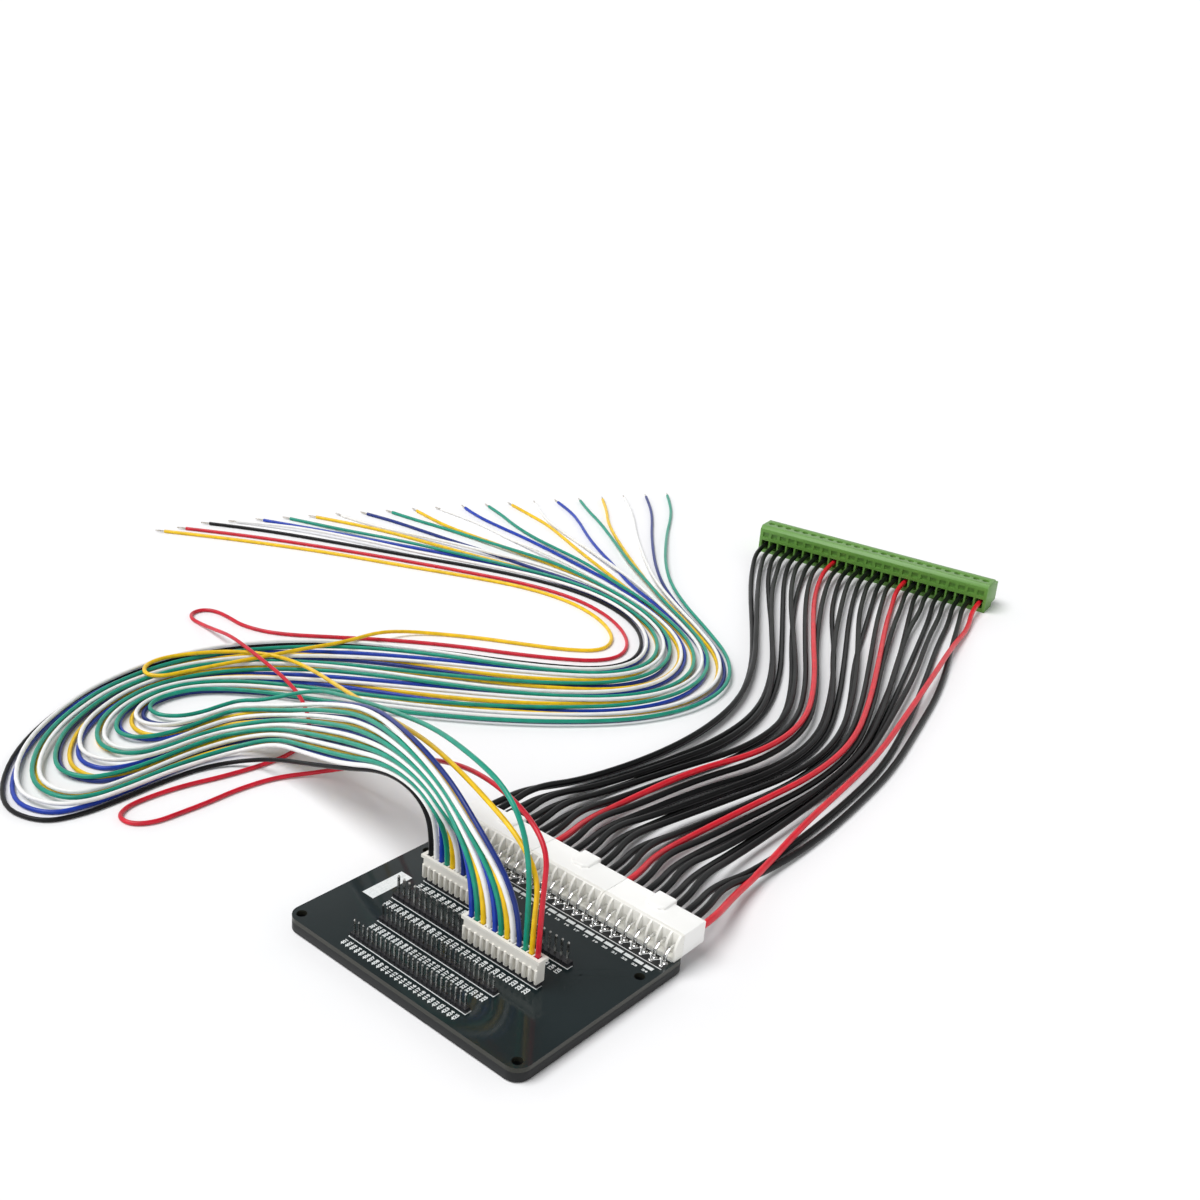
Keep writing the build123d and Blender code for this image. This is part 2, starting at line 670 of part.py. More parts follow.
# The colour of the wire in each way of the two small plugs, left to right
back_plug_colours = [
    "black", "white", "blue", "green", "yellow", "white", "navy", "green", "yellow", "white",
]
front_plug_colours = [
    "blue", "green", "yellow", "white", "blue", "green", "yellow", "white", "navy", "green",
    "yellow", "red",
]
signal_start_z = small_plug_top - wire_pocket_depth
signal_rise_z = 22.5
signal_rise_step = 0.4
stray_rise_z = 25.0
green_number = 19
strays = {green_number: green_arch, 20: yellow_route, 21: red_route}


def signal_pin(number):
    if number < back_plug_ways:
        return (coarse_first_x + coarse_pitch * (back_plug_first_pin + number), row_a_y)
    way = number - back_plug_ways
    return (coarse_first_x + coarse_pitch * (front_plug_first_pin + way), row_b_y)


def signal_route(number):
    x, y = signal_pin(number)
    lanes = lane(signal_front_guide, signal_back_guide, number, bundle_steps, thin_wire)
    if number in strays:
        start = [(x, y, signal_start_z), (x, y, stray_rise_z)]
        rest = list(strays[number])
        if number == green_number:
            rest = rest + lanes[green_bundle_station:]
        return start + rest
    start = [(x, y, signal_start_z), (x, y, signal_rise_z + signal_rise_step * number)]
    return start + lanes


for number, colour in enumerate(back_plug_colours + front_plug_colours):
    make_wires(f"signal_wire_{number + 1:02d}_{colour}", [signal_route(number)], thin_wire)
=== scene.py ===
# The looks of a balancer lead board: a small circuit board on a black base, its
# pin strips, plugs and solder joints, and the two sets of leads that leave it.
# Lengths are in metres.
import random
from math import cos, pi, radians, sin, tan

import bmesh
import bpy
from mathutils import Matrix, Vector


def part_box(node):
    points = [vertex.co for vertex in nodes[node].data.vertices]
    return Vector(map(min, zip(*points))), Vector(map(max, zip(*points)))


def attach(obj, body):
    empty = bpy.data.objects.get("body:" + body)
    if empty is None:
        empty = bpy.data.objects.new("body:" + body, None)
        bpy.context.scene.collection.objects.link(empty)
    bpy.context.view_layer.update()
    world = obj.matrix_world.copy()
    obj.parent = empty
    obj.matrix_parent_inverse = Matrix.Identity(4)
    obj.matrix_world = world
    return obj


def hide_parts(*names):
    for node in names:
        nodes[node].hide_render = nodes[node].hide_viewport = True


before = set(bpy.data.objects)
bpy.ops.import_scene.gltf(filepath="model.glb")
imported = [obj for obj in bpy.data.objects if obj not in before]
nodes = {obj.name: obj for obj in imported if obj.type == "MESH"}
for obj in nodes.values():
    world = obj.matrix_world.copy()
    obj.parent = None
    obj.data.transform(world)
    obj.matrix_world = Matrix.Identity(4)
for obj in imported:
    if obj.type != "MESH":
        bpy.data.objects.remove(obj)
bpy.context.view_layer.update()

mm = 0.001

# Camera, at the photograph's place and angle
camera_place = (0.24919, -0.26092, 0.27185)
camera_azimuth = radians(38.741)
camera_pitch = radians(22.587)
camera_roll = radians(4.976)
camera_lens = 42.72
camera_sensor = 36
camera_near = 0.01

# Wires: their sizes, how they sway about their lanes and how they lie on two layers
thin_wire = 1.65 * mm
thick_wire = 2.4 * mm
touch_gap = 0.1 * mm
lying_height = 3 * mm
arc_share = 0.45
sway_per_wire = 2.4
sway_per_station = 0.5
layer_sway = 1.35
neighbour_sway = 1.86
largest_swing = 1.1
loose_spacing = 4.5 * mm
layer_spacing = 6.5 * mm
layer_fade = 1.5 * mm
lane_room = 1.4
fade_stations = 2
wire_sides = 5
wire_steps = 6
bare_end = 5 * mm
bare_diameter = 0.9 * mm
bare_sink = 0.2 * mm
bare_strands = 7
bare_rings = 12
bare_corners = 6
bare_twist = 0.8
bare_taper = 0.4

# Power leads and the terminal plug on their far end
power_exit_run = 10 * mm
terminal_exit_run = 16 * mm
power_pitch = 3.96 * mm
power_ways = 25
power_wire_start = 51.9 * mm
power_wire_height = 9.7 * mm
ways_between_guides = 8
power_reds = [8, 16, 24]
terminal_pitch = 5.08 * mm
terminal_turn = radians(9)
terminal_middle = (-88 * mm, 392 * mm)
terminal_wire_height = 4.6 * mm
wire_end_back = -3 * mm
layer_step = thick_wire + touch_gap
# Black leads that pass under the last red one: how far aside and how far up
passed_under = {22: (5.5 * mm, 0), 23: (8 * mm, -layer_step)}
way_groups = {"left": range(0, 9), "middle": range(9, 17), "right": range(17, 25)}

# Signal leads and the two small plugs
bundle_steps = 18
small_pitch = 2.5 * mm
small_first_x = -32.4 * mm
row_a_y = 14.6 * mm
row_b_y = 0.9 * mm
signal_start_z = 13.9 * mm
signal_rise_z = 22.5 * mm
signal_rise_step = 0.4 * mm
stray_rise_z = 25 * mm
back_plug_colours = [
    "black", "white", "blue", "green", "yellow", "white", "navy", "green", "yellow", "white",
]
front_plug_first_pin = 13
front_plug_colours = [
    "blue", "green", "yellow", "white", "blue", "green", "yellow", "white", "navy", "green",
    "yellow", "red",
]
green_number = 19
yellow_number = 20
red_number = 21
green_bundle_station = 6
bundle_width = 24 * mm
most_drawn_in = 15.5 * mm
arch_stations = 7
# Slots in the front of a small plug
slot_width = 1.25 * mm
slot_height = 4.7 * mm
slot_reach = 1.5 * mm
slot_overrun = 0.1 * mm
small_plug_edge = 0.1 * mm
plug_weld_reach = 0.001 * mm

# Worn edges of the CAD pieces
node_weld_reach = 0.002 * mm
edge_segments = 2
edge_angle = radians(40)

# Print and solder on the board
pins_per_strip = 25
ink_thickness = 0.04 * mm
mask_thickness = 0.02 * mm
print_sink = 0.02 * mm
line_width = 0.3 * mm
line_gap = 0.2 * mm
tick_length = 2.4 * mm
number_weight = 0.04
number_smoothness = 2
row_number_place = 2.9 * mm
row_number_length = 2.9 * mm
row_number_share = 0.66
band_side_margin = 1.2 * mm
band_front_y = 33.1 * mm
band_back_y = 39.3 * mm
front_line_y = 33.75 * mm
back_line_y = 39.1 * mm
block_y = 31.8 * mm
block_size = (3.2 * mm, 1.35 * mm)
block_tick = (0.45 * mm, 2.2 * mm)
way_number_y = 29.7 * mm
way_number_size = (2.1 * mm, 0.9 * mm)
front_joint_y = 35.1 * mm
back_joint_y = 37.8 * mm
joint_radius = 0.8 * mm
joint_height = 0.62 * mm
joint_widths = (0.88, 1.1)
joint_heights = (0.75, 1.2)
joint_lean = 0.15
joint_corners = 16
bead_steps = (0.15, 0.4, 0.62, 0.8, 0.92)
foot_joint_radius = 0.95 * mm
foot_joint_height = 0.8 * mm
foot_joint_widths = (0.92, 1.08)
foot_joint_heights = (0.85, 1.15)
foot_joint_tip = 0.12 * mm
foot_joint_sag = 1.6
fillet_steps = (0.1, 0.25, 0.45, 0.7)
power_pin_half = 0.5 * mm
stroke_width = 0.32 * mm
stroke_clearance = 0.75 * mm
track_width = 0.5 * mm
track_shifts = (0, 2.2 * mm)
track_start = (1.2 * mm, -1 * mm)
track_run = 11.5 * mm
short_track_places = (33.6 * mm, 35.2 * mm)
short_track_ends = (6 * mm, 15 * mm)
marking_place = (-40.1 * mm, 3.2 * mm)
marking_size = (5.1 * mm, 16.8 * mm)

# Power leads: guides for ways 1, 9, 17 and 25, station by station
power_guides = [
    [
        (-0.051, 0.08, 0.006), (-0.047, 0.103, 0.0014), (-0.04, 0.137, 0.0013),
        (-0.039, 0.171, 0.0013), (-0.045, 0.206, 0.0013), (-0.062, 0.241, 0.0013),
        (-0.087, 0.277, 0.0013), (-0.115, 0.315, 0.0013), (-0.133, 0.342, 0.0013),
    ],
    [
        (-0.022, 0.08, 0.006), (-0.023, 0.103, 0.0014), (-0.018, 0.137, 0.0013),
        (-0.008, 0.171, 0.0013), (-0.011, 0.206, 0.0013), (-0.029, 0.241, 0.0013),
        (-0.055, 0.28, 0.0013), (-0.081, 0.321, 0.0013), (-0.097, 0.35, 0.0013),
    ],
    [
        (0.009, 0.08, 0.006), (0.008, 0.103, 0.0014), (0.013, 0.137, 0.0013), (0.016, 0.171, 0.0013),
        (0.012, 0.206, 0.0013), (-0.003, 0.244, 0.0013), (-0.023, 0.286, 0.0013),
        (-0.044, 0.329, 0.0013), (-0.057, 0.358, 0.0013),
    ],
    [
        (0.042, 0.08, 0.006), (0.038, 0.103, 0.0014), (0.033, 0.137, 0.0013), (0.029, 0.171, 0.0013),
        (0.024, 0.206, 0.0013), (0.014, 0.246, 0.0013), (0.003, 0.289, 0.0013), (-0.01, 0.334, 0.0013),
        (-0.017, 0.364, 0.0013),
    ],
]
# Signal leads: guides for the first and the nineteenth wire of the bundle
signal_front_guide = [
    (-0.036, 0.015, 0.031), (-0.046, 0.016, 0.035), (-0.061, 0.018, 0.033), (-0.08, 0.019, 0.025),
    (-0.104, 0.023, 0.015), (-0.126, 0.025, 0.007), (-0.14, 0.021, 0.002), (-0.147, 0.009, 0.0009),
    (-0.148, -0.008, 0.0009), (-0.147, -0.026, 0.0009), (-0.147, -0.042, 0.0009),
    (-0.152, -0.055, 0.0009), (-0.172, -0.059, 0.0009), (-0.203, -0.036, 0.0009), (-0.225, 0, 0.0009),
    (-0.232, 0.027, 0.0009), (-0.233, 0.051, 0.0009), (-0.227, 0.075, 0.0009), (-0.215, 0.097, 0.0009),
    (-0.199, 0.117, 0.0009), (-0.181, 0.133, 0.0009), (-0.16, 0.148, 0.0009), (-0.139, 0.161, 0.0009),
    (-0.121, 0.174, 0.0009), (-0.107, 0.187, 0.0009), (-0.102, 0.203, 0.0009), (-0.109, 0.22, 0.0009),
    (-0.124, 0.235, 0.0009), (-0.144, 0.244, 0.0009), (-0.168, 0.247, 0.0009), (-0.196, 0.242, 0.0009),
    (-0.227, 0.23, 0.0009), (-0.259, 0.214, 0.0009), (-0.291, 0.199, 0.0009), (-0.322, 0.184, 0.0009),
    (-0.345, 0.171, 0.0009), (-0.36, 0.161, 0.0009),
]
signal_back_guide = [
    (0, 0.003, 0.05), (-0.017, 0.008, 0.055), (-0.042, 0.015, 0.056), (-0.078, 0.03, 0.046),
    (-0.116, 0.043, 0.03), (-0.147, 0.051, 0.016), (-0.167, 0.052, 0.006), (-0.177, 0.046, 0.0015),
    (-0.179, 0.038, 0.0009), (-0.179, 0.029, 0.0009), (-0.181, 0.02, 0.0009), (-0.187, 0.0135, 0.0009),
    (-0.195, 0.013, 0.0009), (-0.2015, 0.0195, 0.0009), (-0.203, 0.03, 0.0009), (-0.201, 0.04, 0.0009),
    (-0.195, 0.049, 0.0009), (-0.186, 0.058, 0.0009), (-0.174, 0.067, 0.0009), (-0.16, 0.076, 0.0009),
    (-0.144, 0.086, 0.0009), (-0.125, 0.099, 0.0009), (-0.104, 0.116, 0.0009), (-0.083, 0.137, 0.0009),
    (-0.065, 0.161, 0.0009), (-0.056, 0.188, 0.0009), (-0.059, 0.215, 0.0009), (-0.075, 0.238, 0.0009),
    (-0.1, 0.255, 0.0009), (-0.127, 0.271, 0.0009), (-0.151, 0.288, 0.0009), (-0.171, 0.307, 0.0009),
    (-0.188, 0.326, 0.0009), (-0.204, 0.345, 0.0009), (-0.218, 0.363, 0.0009), (-0.232, 0.379, 0.0009),
    (-0.246, 0.392, 0.0009),
]
# Three wires leave the bundle and have routes of their own
green_arch = [
    (0.022, 0.001, 0.043), (0.016, 0.003, 0.055), (0.005, 0.006, 0.061), (-0.011, 0.01, 0.062),
    (-0.037, 0.019, 0.058), (-0.069, 0.031, 0.047), (-0.107, 0.045, 0.033), (-0.143, 0.057, 0.019),
]
yellow_route = [
    (0.024, 0.003, 0.04), (0.012, 0.006, 0.047), (-0.002, 0.009, 0.05), (-0.016, 0.013, 0.051),
    (-0.033, 0.019, 0.05), (-0.052, 0.027, 0.046), (-0.076, 0.038, 0.038), (-0.106, 0.052, 0.028),
    (-0.137, 0.066, 0.018), (-0.166, 0.078, 0.01), (-0.187, 0.084, 0.0055), (-0.202, 0.082, 0.0046),
    (-0.213, 0.074, 0.0046), (-0.221, 0.064, 0.0046), (-0.226, 0.054, 0.0046), (-0.229, 0.044, 0.0046),
    (-0.227, 0.035, 0.0046), (-0.22, 0.031, 0.0046), (-0.214, 0.035, 0.0046), (-0.212, 0.044, 0.0046),
    (-0.209, 0.057, 0.0046), (-0.204, 0.075, 0.0046), (-0.199, 0.095, 0.0046), (-0.193, 0.114, 0.0046),
    (-0.192, 0.132, 0.0046), (-0.189, 0.146, 0.002), (-0.18, 0.157, 0.0009), (-0.164, 0.169, 0.0009),
    (-0.146, 0.18, 0.0009), (-0.129, 0.191, 0.0009), (-0.119, 0.202, 0.0009), (-0.122, 0.214, 0.0009),
    (-0.133, 0.224, 0.0009), (-0.149, 0.231, 0.0009), (-0.17, 0.234, 0.0009), (-0.196, 0.229, 0.0009),
    (-0.226, 0.215, 0.0009), (-0.257, 0.199, 0.0009), (-0.29, 0.183, 0.0009), (-0.322, 0.164, 0.0009),
    (-0.347, 0.148, 0.0009), (-0.364, 0.136, 0.0009),
]
red_route = [
    (0.027, 0.002, 0.038), (0.024, 0.006, 0.047), (0.013, 0.01, 0.052), (-0.006, 0.016, 0.052),
    (-0.027, 0.023, 0.047), (-0.048, 0.03, 0.038), (-0.068, 0.037, 0.027), (-0.088, 0.042, 0.015),
    (-0.105, 0.042, 0.006), (-0.117, 0.035, 0.0013), (-0.124, 0.023, 0.0009), (-0.126, 0.008, 0.0009),
    (-0.1255, -0.006, 0.0009), (-0.126, -0.018, 0.0009), (-0.1265, -0.026, 0.0009),
    (-0.1305, -0.0325, 0.0009), (-0.1375, -0.0335, 0.0009), (-0.1415, -0.0275, 0.0009),
    (-0.142, -0.019, 0.0009), (-0.141, -0.006, 0.0009), (-0.137, 0.009, 0.0009),
    (-0.1345, 0.024, 0.0009), (-0.134, 0.038, 0.0009), (-0.139, 0.05, 0.0009), (-0.149, 0.059, 0.0026),
    (-0.162, 0.065, 0.0056), (-0.178, 0.069, 0.0069), (-0.196, 0.072, 0.0072), (-0.212, 0.075, 0.007),
    (-0.228, 0.078, 0.006), (-0.243, 0.0805, 0.0028), (-0.255, 0.082, 0.0009),
    (-0.2625, 0.0822, 0.0009), (-0.2675, 0.086, 0.0009), (-0.2675, 0.092, 0.0009),
    (-0.2625, 0.0955, 0.0009), (-0.254, 0.096, 0.0009), (-0.241, 0.095, 0.0009),
    (-0.225, 0.101, 0.0009), (-0.207, 0.118, 0.0009), (-0.186, 0.138, 0.0009), (-0.164, 0.155, 0.0009),
    (-0.143, 0.168, 0.0009), (-0.125, 0.181, 0.0009), (-0.113, 0.192, 0.0009), (-0.109, 0.204, 0.0009),
    (-0.115, 0.217, 0.0009), (-0.128, 0.228, 0.0009), (-0.146, 0.236, 0.0009), (-0.168, 0.239, 0.0009),
    (-0.195, 0.234, 0.0009), (-0.226, 0.221, 0.0009), (-0.258, 0.206, 0.0009), (-0.29, 0.19, 0.0009),
    (-0.321, 0.173, 0.0009), (-0.345, 0.158, 0.0009), (-0.361, 0.147, 0.0009),
]


# Shader maths: a value that adds a Math node for each operator
class Value:
    def __init__(self, recipe, socket):
        self.recipe = recipe
        self.socket = socket

    def maths(self, operation, *terms):
        return self.recipe.node(
            "ShaderNodeMath", {"operation": operation}, dict(enumerate(terms))
        )

    def __add__(self, other):
        return self.maths("ADD", self, other)

    def __radd__(self, other):
        return self.maths("ADD", other, self)

    def __mul__(self, other):
        return self.maths("MULTIPLY", self, other)

    def __rmul__(self, other):
        return self.maths("MULTIPLY", other, self)

    def __lt__(self, other):
        return self.maths("LESS_THAN", self, other)

    def __gt__(self, other):
        return self.maths("GREATER_THAN", self, other)

    def __abs__(self):
        return self.maths("ABSOLUTE", self)


class Recipe:
    """The nodes of one material or of the world, all made by one method."""

    def __init__(self, tree):
        self.nodes = tree.nodes
        self.links = tree.links

    def node(self, kind, settings, values, output=0):
        made = self.nodes.new(kind)
        for label, setting in settings.items():
            setattr(made, label, setting)
        for label, value in values.items():
            if isinstance(value, Value):
                self.links.new(value.socket, made.inputs[label])
            elif isinstance(value, tuple) and len(made.inputs[label].default_value) == 4:
                made.inputs[label].default_value = (*value, 1)
            else:
                made.inputs[label].default_value = value
        return Value(self, made.outputs[output])

    def ramp(self, value, low, high, start=0.0, end=1.0):
        settings = {"clamp": True}
        values = {
            "Value": value, "From Min": low, "From Max": high, "To Min": start, "To Max": end,
        }
        return self.node("ShaderNodeMapRange", settings, values)

    def part_of(self, vector, axis):
        return self.node("ShaderNodeSeparateXYZ", {}, {"Vector": vector}, axis)


class Finish(Recipe):
    """One material, built on a single principled shader."""

    def __init__(self, name, **settings):
        self.material = bpy.data.materials.new(name)
        self.material.use_nodes = True
        super().__init__(self.material.node_tree)
        self.shader = self.nodes["Principled BSDF"]
        for label, value in settings.items():
            self.set(label.replace("_", " ").title().replace("Ior", "IOR"), value)
        self.place = self.node("ShaderNodeTexCoord", {}, {}, "Object")

    def set(self, label, value):
        socket = self.shader.inputs[label]
        if isinstance(value, Value):
            self.links.new(value.socket, socket)
        elif isinstance(value, tuple):
            socket.default_value = (*value, 1)
        else:
            socket.default_value = value

    def noise(self, scale, detail=3.0, roughness=0.5, place=None):
        values = {
            "Vector": place or self.place, "Scale": scale, "Detail": detail, "Roughness": roughness,
        }
        return self.node("ShaderNodeTexNoise", {}, values)

    def mix(self, share, low, high):
        settings = {"data_type": "RGBA"}
        values = {"Factor": share, 6: low, 7: high}
        return self.node("ShaderNodeMix", settings, values, 2)

    def stretched(self, scale):
        return self.node("ShaderNodeMapping", {}, {"Vector": self.place, "Scale": scale})

    def bump(self, height, strength, distance):
        values = {"Height": height, "Strength": strength, "Distance": distance}
        self.set("Normal", self.node("ShaderNodeBump", {}, values))


fine_relief = 0.02 * mm
metal_relief = 0.03 * mm


# Moulded plastic: a little cloudiness in the colour and a fine spark-eroded grain
def moulded(name, colour, shade, roughness, **settings):
    finish = Finish(name, **settings)
    cloud = finish.noise(140.0)
    finish.set("Base Color", finish.mix(cloud, shade, colour))
    speckle = finish.noise(2600.0, 2.0)
    finish.set("Roughness", speckle * 0.16 + (roughness - 0.08))
    finish.bump(speckle, 0.15, fine_relief)
    return finish.material


# Solder mask: a glossy slate skin with faint mottling, and olive glass fibre at the cut edge
def solder_mask():
    gloss = {"specular_ior_level": 0.15, "coat_weight": 0.5, "coat_roughness": 0.08}
    finish = Finish("solder_mask", **gloss)
    mottle = finish.noise(35.0, 4.0)
    mask = finish.mix(mottle, (0.005, 0.011, 0.012), (0.01, 0.018, 0.02))
    normal = finish.node("ShaderNodeNewGeometry", {}, {}, "Normal")
    side = abs(finish.part_of(normal, 2)) < 0.5
    fibre = finish.noise(1.0, 2.0, 0.5, finish.stretched((600, 600, 9000)))
    edge = finish.mix(fibre, (0.012, 0.013, 0.01), (0.034, 0.035, 0.025))
    finish.set("Base Color", finish.mix(side, mask, edge))
    peel = finish.noise(900.0, 2.0)
    finish.set("Roughness", finish.ramp(mottle, 0.2, 0.8) * 0.1 + side * 0.3 + 0.26)
    finish.bump(peel, 0.1, fine_relief)
    return finish.material


# Wire insulation: smooth extruded plastic, a little uneven in colour and sheen
def insulation(name, colour, roughness, gloss, depth=0.76):
    finish = Finish(name, specular_ior_level=gloss)
    streak = finish.noise(260.0, 3.0)
    shade = tuple(part * depth for part in colour)
    finish.set("Base Color", finish.mix(finish.ramp(streak, 0.3, 0.7), shade, colour))
    smear = finish.noise(60.0, 2.0)
    finish.set("Roughness", smear * 0.2 + (roughness - 0.1))
    finish.bump(finish.noise(1500.0, 2.0), 0.1, fine_relief)
    return finish.material


# Bare metal: tin, zinc or solder with a patchy sheen
def bare_metal(name, colour, shade, roughness, scale):
    finish = Finish(name, metallic=1.0)
    patch = finish.noise(scale, 4.0)
    finish.set("Base Color", finish.mix(finish.ramp(patch, 0.35, 0.65), shade, colour))
    finish.set("Roughness", patch * 0.3 + (roughness - 0.15))
    finish.bump(finish.noise(scale * 4), 0.2, metal_relief)
    return finish.material


# Printed ink: matt, slightly uneven in cover
def printed_ink(name, colour, shade):
    finish = Finish(name)
    cover = finish.noise(1800.0, 3.0)
    finish.set("Base Color", finish.mix(finish.ramp(cover, 0.35, 0.6), shade, colour))
    finish.set("Roughness", cover * 0.2 + 0.45)
    return finish.material


mask_finish = solder_mask()
base_finish = moulded(
    "black_base", (0.008, 0.009, 0.01), (0.005, 0.006, 0.006), 0.46, specular_ior_level=0.3
)
strip_finish = moulded("strip_moulding", (0.012, 0.012, 0.016), (0.007, 0.007, 0.009), 0.36)
pin_finish = bare_metal("tinned_pin", (0.62, 0.62, 0.6), (0.3, 0.3, 0.3), 0.26, 500.0)
power_pin_finish = bare_metal("bright_pin", (0.9, 0.9, 0.88), (0.6, 0.6, 0.6), 0.2, 500.0)
ivory_finish = moulded("ivory_nylon", (0.79, 0.775, 0.72), (0.72, 0.7, 0.64), 0.4)
comb_finish = moulded("natural_nylon", (0.88, 0.875, 0.83), (0.78, 0.77, 0.72), 0.3)
white_finish = moulded("white_nylon", (0.91, 0.91, 0.895), (0.87, 0.87, 0.85), 0.36)
terminal_finish = moulded("green_polyamide", (0.125, 0.3, 0.045), (0.085, 0.225, 0.03), 0.42)
screw_finish = bare_metal("zinc_screw", (0.55, 0.55, 0.52), (0.28, 0.28, 0.27), 0.35, 700.0)
solder_finish = bare_metal("solder", (0.9, 0.9, 0.9), (0.55, 0.55, 0.55), 0.2, 900.0)
tin_finish = bare_metal("tinned_copper", (0.78, 0.76, 0.72), (0.5, 0.46, 0.4), 0.35, 1500.0)
ink_finish = printed_ink("white_ink", (0.76, 0.78, 0.78), (0.64, 0.67, 0.67))
band_finish = printed_ink("dark_band", (0.008, 0.009, 0.01), (0.004, 0.004, 0.005))
wire_finishes = {
    "black": insulation("black_wire", (0.005, 0.005, 0.006), 0.38, 0.2),
    "white": insulation("white_wire", (0.86, 0.86, 0.85), 0.35, 0.5, 0.9),
    "blue": insulation("blue_wire", (0.004, 0.042, 0.42), 0.34, 0.4),
    "navy": insulation("navy_wire", (0.003, 0.022, 0.2), 0.34, 0.4),
    "green": insulation("green_wire", (0.003, 0.3, 0.2), 0.34, 0.4),
    "yellow": insulation("yellow_wire", (0.9, 0.57, 0.003), 0.34, 0.4),
    "red": insulation("red_wire", (0.62, 0.006, 0.026), 0.34, 0.4),
}
thick_finishes = {
    "black": insulation("black_lead", (0.004, 0.0045, 0.005), 0.38, 0.16),
    "red": insulation("red_lead", (0.68, 0.006, 0.022), 0.38, 0.4),
}


# Edges worn round by a hair
def round_edges(piece, width):
    rounding = piece.modifiers.new("rounding", "BEVEL")
    rounding.width = width
    rounding.segments = edge_segments
    rounding.limit_method = "ANGLE"
    rounding.angle_limit = edge_angle
    rounding.harden_normals = True


# Dresses a CAD node in one finish, with worn edges where a width is given
def dress(name, material, edge=0.0):
    node = nodes[name]
    node.data.materials.clear()
    node.data.materials.append(material)
    if edge:
        weld = node.modifiers.new("weld", "WELD")
        weld.merge_threshold = node_weld_reach
        round_edges(node, edge)
        for face in node.data.polygons:
            face.use_smooth = True


dress("circuit_board", mask_finish)
dress("base_plate", base_finish, 0.3 * mm)
for row in "abcd":
    dress(f"pin_strip_{row}", strip_finish)
    dress(f"pins_{row}", pin_finish)
for side in ["left", "middle", "right"]:
    dress(f"power_header_{side}", comb_finish, 0.12 * mm)
    dress(f"power_pins_{side}", power_pin_finish, 0.12 * mm)
    dress(f"power_plug_{side}", white_finish, 0.2 * mm)
dress("terminal_plug", terminal_finish, 0.15 * mm)
dress("terminal_screws", screw_finish)
dress("terminal_clamps", screw_finish)


# A mesh made by one function that fills a bmesh
def fill_mesh(name, fill):
    shape = bmesh.new()
    fill(shape)
    mesh = bpy.data.meshes.new(name)
    shape.to_mesh(mesh)
    shape.free()
    return mesh


# A piece with such a mesh, in one finish
def make_piece(name, material, fill):
    mesh = fill_mesh(name, fill)
    mesh.materials.append(material)
    piece = bpy.data.objects.new(name, mesh)
    bpy.context.scene.collection.objects.link(piece)
    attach(piece, "root")
    return piece


# A small plug with an open slot in its front for each way, so that teeth are left
def make_small_plug(name, node, ways, first_pin):
    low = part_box(node)[0]

    def fill_slots(shape):
        for way in range(ways):
            x = small_first_x + small_pitch * (first_pin + way)
            y = low.y + slot_reach / 2 - slot_overrun
            z = low.z + slot_height / 2 - slot_overrun
            size = (slot_width, slot_reach, slot_height, 1)
            place = Matrix.Translation((x, y, z)) @ Matrix.Diagonal(size)
            bmesh.ops.create_cube(shape, size=1, matrix=place)

    def fill_housing(shape):
        shape.from_mesh(nodes[node].data)
        bmesh.ops.remove_doubles(shape, verts=shape.verts, dist=plug_weld_reach)

    slots = bpy.data.objects.new("slots", fill_mesh("slots", fill_slots))
    block = bpy.data.objects.new("block", fill_mesh("block", fill_housing))
    bpy.context.scene.collection.objects.link(slots)
    bpy.context.scene.collection.objects.link(block)
    cut = block.modifiers.new("cut", "BOOLEAN")
    cut.object = slots
    cut.solver = "EXACT"
    round_edges(block, small_plug_edge)
    solved = block.evaluated_get(bpy.context.evaluated_depsgraph_get())
    mesh = bpy.data.meshes.new_from_object(solved)
    mesh.name = name
    mesh.materials.clear()
    mesh.materials.append(ivory_finish)
    bpy.data.objects.remove(slots)
    bpy.data.objects.remove(block)
    piece = bpy.data.objects.new(name, mesh)
    bpy.context.scene.collection.objects.link(piece)
    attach(piece, "root")
    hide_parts(node)


make_small_plug("back_plug_housing", "back_plug", len(back_plug_colours), 0)
make_small_plug(
    "front_plug_housing", "front_plug", len(front_plug_colours), front_plug_first_pin
)

board_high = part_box("circuit_board")[1]
board_top = board_high.z
way_places = [power_pitch * (way - (power_ways - 1) / 2) for way in range(power_ways)]
between_ways = [place - power_pitch / 2 for place in way_places[1:]]


# A flat closed film on the board, from its corners in order
def add_film(shape, corners, thickness=ink_thickness):
    low = [shape.verts.new((x, y, board_top - print_sink)) for x, y in corners]
    high = [shape.verts.new((x, y, board_top + thickness)) for x, y in corners]
    shape.faces.new(low[::-1])
    shape.faces.new(high)
    for start in range(len(corners)):
        end = (start + 1) % len(corners)
        shape.faces.new((low[start], low[end], high[end], high[start]))


# A printed rectangle, and below it a straight stroke
def add_block(shape, middle, size, thickness=ink_thickness):
    x, y = middle
    half_x, half_y = size[0] / 2, size[1] / 2
    corners = [
        (x - half_x, y - half_y), (x + half_x, y - half_y),
        (x + half_x, y + half_y), (x - half_x, y + half_y),
    ]
    add_film(shape, corners, thickness)


def add_stroke(shape, start, end, width, thickness=ink_thickness):
    start, end = Vector(start), Vector(end)
    side = (end - start).orthogonal().normalized() * width / 2
    add_film(shape, [start - side, end - side, end + side, start + side], thickness)


# The bracket printed round the front of a pin strip
def add_bracket(shape, left, right, front):
    half = line_width / 2
    back = front + tick_length
    add_film(shape, [
        (left - half, front - half), (right + half, front - half), (right + half, back),
        (right - half, back), (right - half, front + half), (left + half, front + half),
        (left + half, back), (left - half, back),
    ])


